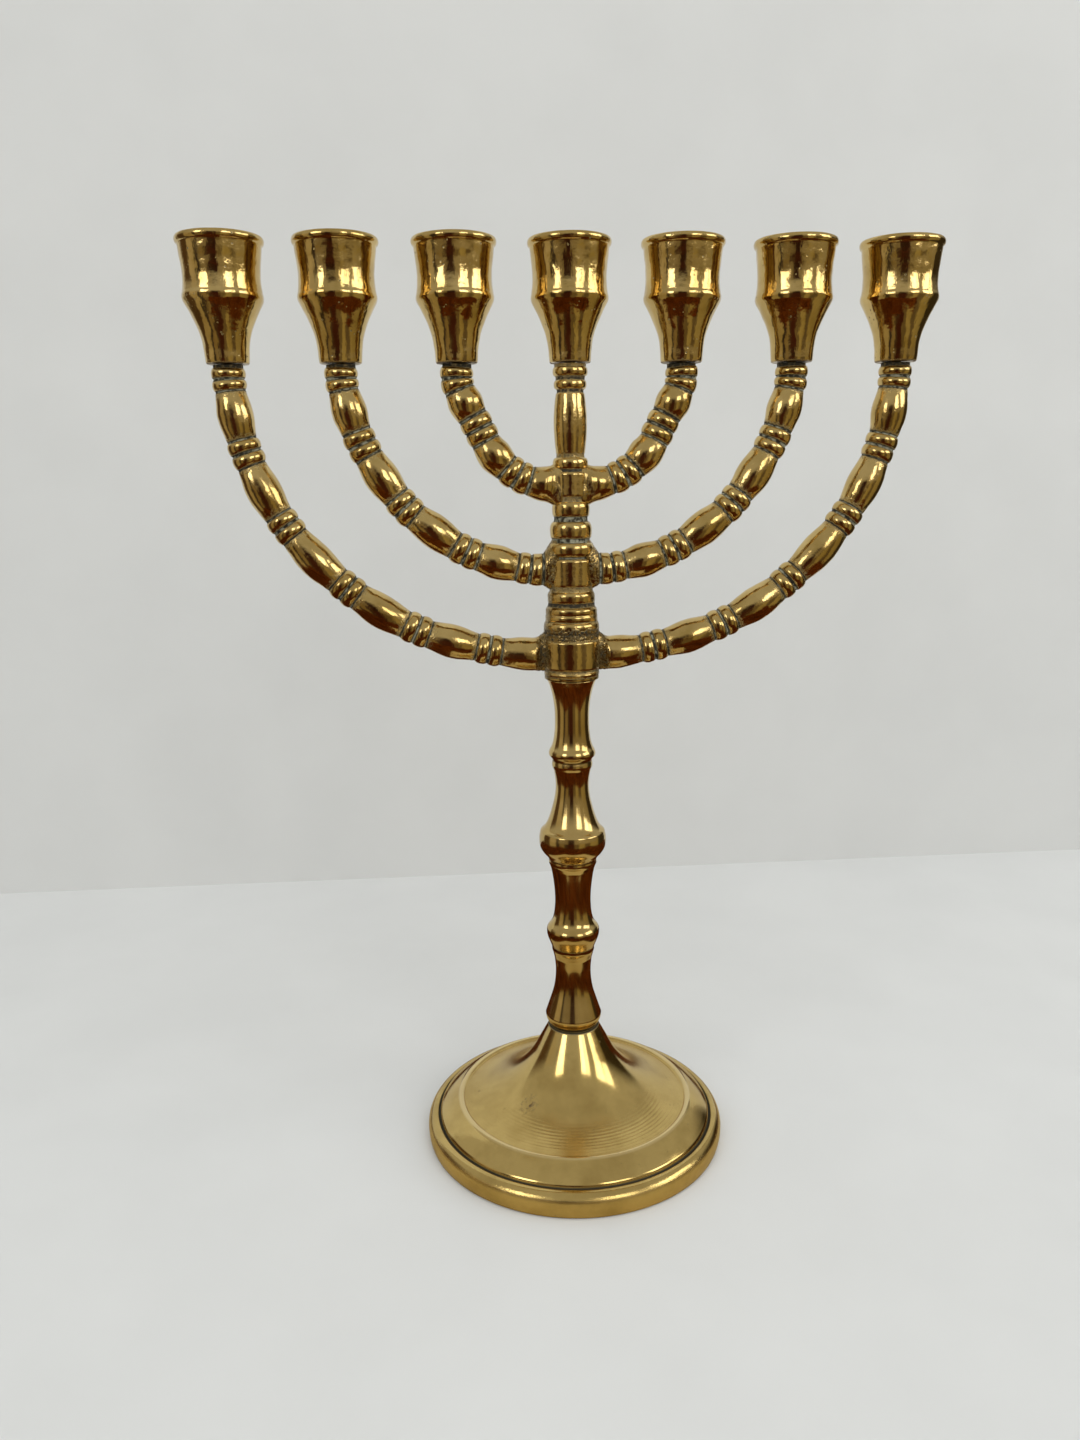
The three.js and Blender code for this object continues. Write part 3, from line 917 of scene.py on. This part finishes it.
ROOM = 4.0  # half the floor's width, and the wall's height
WALL_AT = 0.26
CARD_GAP = 0.2 * MM  # from the floor up to the brown card, and from that to the lit one
PALE_CARD_AT = WALL_AT - 2 * MM


def level_corners(left, right, near, far, height):
    return [(left, near, height), (right, near, height), (right, far, height), (left, far, height)]


def upright_corners(left, right, place, low, high):
    return [(left, place, low), (right, place, low), (right, place, high), (left, place, high)]


def stage_mesh(name, corners, colour, darker=None, one_sided=False):
    """A flat four-cornered piece of the stage in matt paint. One-sided ones are clear from behind."""
    mesh = bpy.data.meshes.new(name)
    mesh.from_pydata([Vector(corner) for corner in corners], [], [(0, 1, 2, 3)])
    piece = bpy.data.objects.new(name, mesh)
    bpy.context.scene.collection.objects.link(piece)
    material, tree = new_material(name)
    patch = noise(tree, place_in_piece(tree), 60, 3)
    darker = darker or tuple(0.97 * channel for channel in colour[:3]) + (1,)
    paint = mix_colour(tree, ramp(tree, patch, 0.35, 0.65), colour, darker)
    finish = {"Base Color": paint, "Roughness": 0.9, "Specular IOR Level": 0.0}
    surface = node(tree, "ShaderNodeBsdfPrincipled", finish).outputs[0]
    if one_sided:
        from_behind = node(tree, "ShaderNodeNewGeometry").outputs["Backfacing"]
        clear = node(tree, "ShaderNodeBsdfTransparent").outputs[0]
        surface = node(tree, "ShaderNodeMixShader", {0: from_behind, 1: surface, 2: clear}).outputs[0]
    node(tree, "ShaderNodeOutputMaterial", {"Surface": surface})
    mesh.materials.append(material)
    return piece


def stage():
    """A pale floor and wall, clear from behind. The brass does not mirror them. It mirrors three cards
    that the camera does not see: a wide brown one under it, as on a table, a small lit one on that
    round the foot, and a pale one behind."""
    floor = stage_mesh("floor", level_corners(-ROOM, ROOM, -ROOM, ROOM, 0), PALE, one_sided=True)
    wall = stage_mesh("wall", upright_corners(-ROOM, ROOM, WALL_AT, 0, ROOM), PALE, one_sided=True)
    for piece in (floor, wall):
        piece.visible_glossy = False
    brown_corners = level_corners(-0.34, 0.34, -0.30, PALE_CARD_AT, CARD_GAP)
    brown = stage_mesh("brown_card", brown_corners, BROWN, DARK_BROWN)
    lit = stage_mesh("lit_card", level_corners(-0.08, 0.08, -0.1, 0.08, 2 * CARD_GAP), LIT)
    pale_corners = upright_corners(-0.45, 0.31, PALE_CARD_AT, 2 * CARD_GAP, 1)
    pale = stage_mesh("pale_card", pale_corners, PALE, one_sided=True)
    for card in (brown, lit, pale):
        card.visible_camera = False
        card.visible_diffuse = False
        card.visible_shadow = False


# What the polished metal mirrors, by azimuth in degrees: 0 is the viewer's side and 90 is +X. Close
# pairs of stops are the edges of windows and of the dark things between them.
GREY, DIM_GREY, BACK_GREY = (0.50, 0.50, 0.48), (0.30, 0.28, 0.24), (0.45, 0.45, 0.43)
BLACK, WARM_BLACK = (0.04, 0.03, 0.02), (0.04, 0.03, 0.015)
VIEWER, VIEWER_BELOW = (0.03, 0.012, 0.007), (0.05, 0.015, 0.008)
SHADE = (0.12, 0.09, 0.05)
ABOVE_HORIZON = [
    (-180, GREY), (-122, GREY), (-118, (0.10, 0.06, 0.03)), (-92, (0.08, 0.05, 0.025)),
    (-89, (0.44, 0.38, 0.27)), (-66, (0.42, 0.36, 0.25)), (-63, BLACK), (-57, BLACK),
    (-54, (0.22, 0.19, 0.14)), (-23, (0.22, 0.18, 0.13)), (-20, VIEWER), (-2, VIEWER),
    (1, (0.28, 0.24, 0.17)), (52, (0.30, 0.26, 0.18)), (90, (0.26, 0.22, 0.14)),
    (93, WARM_BLACK), (130, WARM_BLACK), (136, BACK_GREY), (180, GREY),
]
BELOW_HORIZON = [
    (-180, DIM_GREY), (-122, DIM_GREY), (-118, (0.08, 0.05, 0.025)), (-92, (0.08, 0.05, 0.025)),
    (-89, (0.36, 0.30, 0.18)), (-66, (0.34, 0.28, 0.16)), (-63, BLACK), (-54, BLACK),
    (-51, (0.20, 0.15, 0.08)), (-36, (0.24, 0.18, 0.09)), (-33, (0.07, 0.05, 0.03)),
    (-20, VIEWER_BELOW), (-2, VIEWER_BELOW), (2, (0.16, 0.12, 0.06)), (14, SHADE),
    (18, (0.34, 0.28, 0.13)), (34, (0.30, 0.24, 0.11)), (38, SHADE), (54, SHADE),
    (58, (0.32, 0.26, 0.12)), (88, (0.26, 0.21, 0.1)), (93, WARM_BLACK), (130, WARM_BLACK),
    (136, DIM_GREY),
]
CEILING = (0.44, 0.43, 0.39, 1)
CEILING_FROM, CEILING_FULL = 0.17, 0.42  # heights of the direction looked in, from 0 level to 1 upright
PLAIN_WORLD = (0.60, 0.60, 0.58, 1)  # all that the camera itself sees past the stage


def by_azimuth(tree, turn, stops):
    """A colour ramp round the horizon. Turn is 0 at -180 degrees and 1 at 180."""
    made = node(tree, "ShaderNodeValToRGB", {"Fac": turn})
    elements = made.color_ramp.elements
    while len(elements) < len(stops):
        elements.new(0.5)
    for element, (degrees, colour) in zip(elements, stops):
        element.position = degrees / 360 + 0.5
        element.color = (*colour, 1)
    return made.outputs["Color"]


def world():
    """A pale room behind, a dark viewer in front, lighter and darker things on both sides, and a pale
    ceiling. Below the horizon it is dimmer and browner."""
    made = bpy.data.worlds.new("surroundings")
    bpy.context.scene.world = made
    made.use_nodes = True
    tree = made.node_tree
    tree.nodes.clear()
    direction = node(tree, "ShaderNodeTexCoord").outputs["Generated"]
    axes = node(tree, "ShaderNodeSeparateXYZ", {"Vector": direction})
    towards_viewer = math_node(tree, "MULTIPLY", axes.outputs["Y"], -1.0)
    azimuth = math_node(tree, "ARCTAN2", axes.outputs["X"], towards_viewer)
    turn = math_node(tree, "MULTIPLY_ADD", azimuth, 0.5 / math.pi, 0.5)
    around = by_azimuth(tree, turn, ABOVE_HORIZON)
    upper = mix_colour(tree, ramp(tree, axes.outputs["Z"], CEILING_FROM, CEILING_FULL), around, CEILING)
    lower = by_azimuth(tree, turn, BELOW_HORIZON)
    colour = mix_colour(tree, ramp(tree, axes.outputs["Z"], 0.0, -0.06), upper, lower)
    seen = node(tree, "ShaderNodeLightPath").outputs["Is Camera Ray"]
    colour = mix_colour(tree, seen, colour, PLAIN_WORLD)
    background = node(tree, "ShaderNodeBackground", {"Color": colour, "Strength": 1.0})
    node(tree, "ShaderNodeOutputWorld", {"Surface": background.outputs[0]})


LIGHTS_AIM_AT = Vector((0, 0, 0.2))
WINDOW_LIGHT = (1.0, 0.99, 0.96)
SKY_LIGHT = (0.92, 0.96, 1.0)
WINDOW_ELEVATION, WINDOW_DISTANCE, WINDOW_HEIGHT = 20, 1.6, 0.56
# Name, azimuth, width and radiance of each window, and name, azimuth, elevation and radiance of the
# large soft lights, which the brass does not mirror.
WINDOWS = [
    ("window_left", -46, 0.50, 3.0), ("window_right_1", 22, 0.34, 3.0), ("window_right_2", 34, 0.22, 2.2),
    ("window_right_3", 64, 0.50, 2.8), ("window_right_4", 82, 0.36, 2.2),
]
SOFT_LIGHTS = [("overhead", 20, 72, 1.35), ("fill", -10, 40, 0.7)]
SOFT_LIGHT_SIZE = 2.6
SOFT_LIGHT_DISTANCE = 2.6


def softbox(name, azimuth, elevation, distance, width, height, radiance):
    """A panel of light facing the branches. Azimuth 0 is the viewer's side and 90 the +X side."""
    around, up = math.radians(azimuth), math.radians(elevation)
    level = math.cos(up)
    towards = Vector((math.sin(around) * level, -math.cos(around) * level, math.sin(up)))
    light = bpy.data.lights.new(name, "AREA")
    light.shape = "RECTANGLE"
    light.size = width
    light.size_y = height
    light.energy = math.pi * width * height * radiance
    light.color = WINDOW_LIGHT
    made = bpy.data.objects.new(name, light)
    made.visible_camera = False
    made.location = LIGHTS_AIM_AT + towards * distance
    made.rotation_mode = "QUATERNION"
    made.rotation_quaternion = towards.to_track_quat("Z", "Y")
    bpy.context.scene.collection.objects.link(made)
    return made


def lights():
    for name, azimuth, width, radiance in WINDOWS:
        softbox(name, azimuth, WINDOW_ELEVATION, WINDOW_DISTANCE, width, WINDOW_HEIGHT, radiance)
    size = SOFT_LIGHT_SIZE
    for name, azimuth, elevation, radiance in SOFT_LIGHTS:
        light = softbox(name, azimuth, elevation, SOFT_LIGHT_DISTANCE, size, size, radiance)
        light.data.color = SKY_LIGHT
        light.visible_glossy = False


CAMERA_AT = Vector((-39.4, -349.6, 229.1)) * MM
CAMERA_TURNS = (4.70, 12.57, -0.69)  # degrees to the right, down, and about its own axis
SENSOR_WIDTH, LENS = 36, 27.05


def camera():
    """A phone's wide lens, held a little below the cups and left of the stem."""
    yaw, pitch, roll = (math.radians(angle) for angle in CAMERA_TURNS)
    forward = Vector((math.sin(yaw) * math.cos(pitch), math.cos(yaw) * math.cos(pitch), -math.sin(pitch)))
    level = Vector((math.cos(yaw), -math.sin(yaw), 0))
    upright = level.cross(forward)
    right = math.cos(roll) * level + math.sin(roll) * upright
    up = -math.sin(roll) * level + math.cos(roll) * upright
    data = bpy.data.cameras.new("camera")
    data.sensor_width = SENSOR_WIDTH
    data.lens = LENS
    data.clip_start = 0.01
    data.clip_end = 50
    made = bpy.data.objects.new("camera", data)
    rotation = Matrix((right, up, -forward)).transposed()
    made.matrix_world = Matrix.Translation(CAMERA_AT) @ rotation.to_4x4()
    bpy.context.scene.collection.objects.link(made)
    bpy.context.scene.camera = made


stage()
world()
lights()
camera()
bpy.context.scene.view_settings.view_transform = "Standard"
